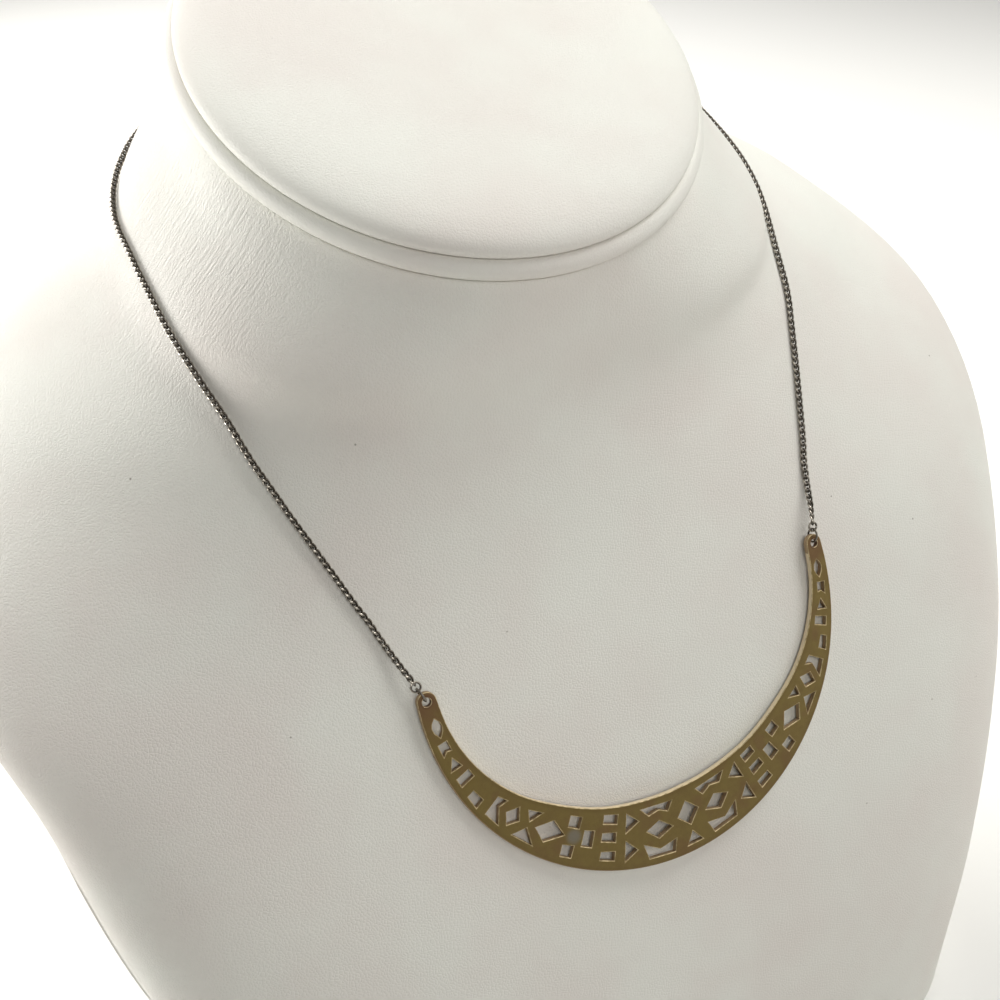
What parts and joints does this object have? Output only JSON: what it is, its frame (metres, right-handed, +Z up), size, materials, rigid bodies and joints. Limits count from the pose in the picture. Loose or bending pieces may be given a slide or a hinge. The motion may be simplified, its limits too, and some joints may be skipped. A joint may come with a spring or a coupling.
{
  "type": "crescent pendant necklace on a neck bust",
  "caption": "Pierced crescent plate pendant hung by jump rings from a fine curb chain with a plain clasp, worn on a padded leatherette neck bust that rests on its flat base.",
  "frame": {"origin": "middle of the bounding box at the table, under the bust", "axes": "+Z up, the bust's front and the pendant face -Y, +X to the right seen from the front"},
  "size_m": [0.2584, 0.2078, 0.2406],
  "materials": {
    "bust_skin": "white fine-grained leatherette, matt",
    "roll_skin": "white leatherette over padding",
    "pad_skin": "white leatherette over a flat pad",
    "plate_brass": "antique brass, satin, bright at the cut edges",
    "dark_metal": "dark antique metal wire",
    "chain_metal": "dark antique metal, rubbed bright on the links",
    "clasp_metal": "dark antique metal"
  },
  "bodies": {
    "root": {"bust_body": "bust_skin", "rim_roll": "roll_skin", "top_pad": "pad_skin", "crescent_plate": "plate_brass", "plate_ring_left": "dark_metal", "plate_ring_right": "dark_metal", "chain_ring_left": "dark_metal", "chain_ring_right": "dark_metal", "chain_left": "chain_metal", "chain_right": "chain_metal", "clasp": "clasp_metal"}
  },
  "joints": []
}
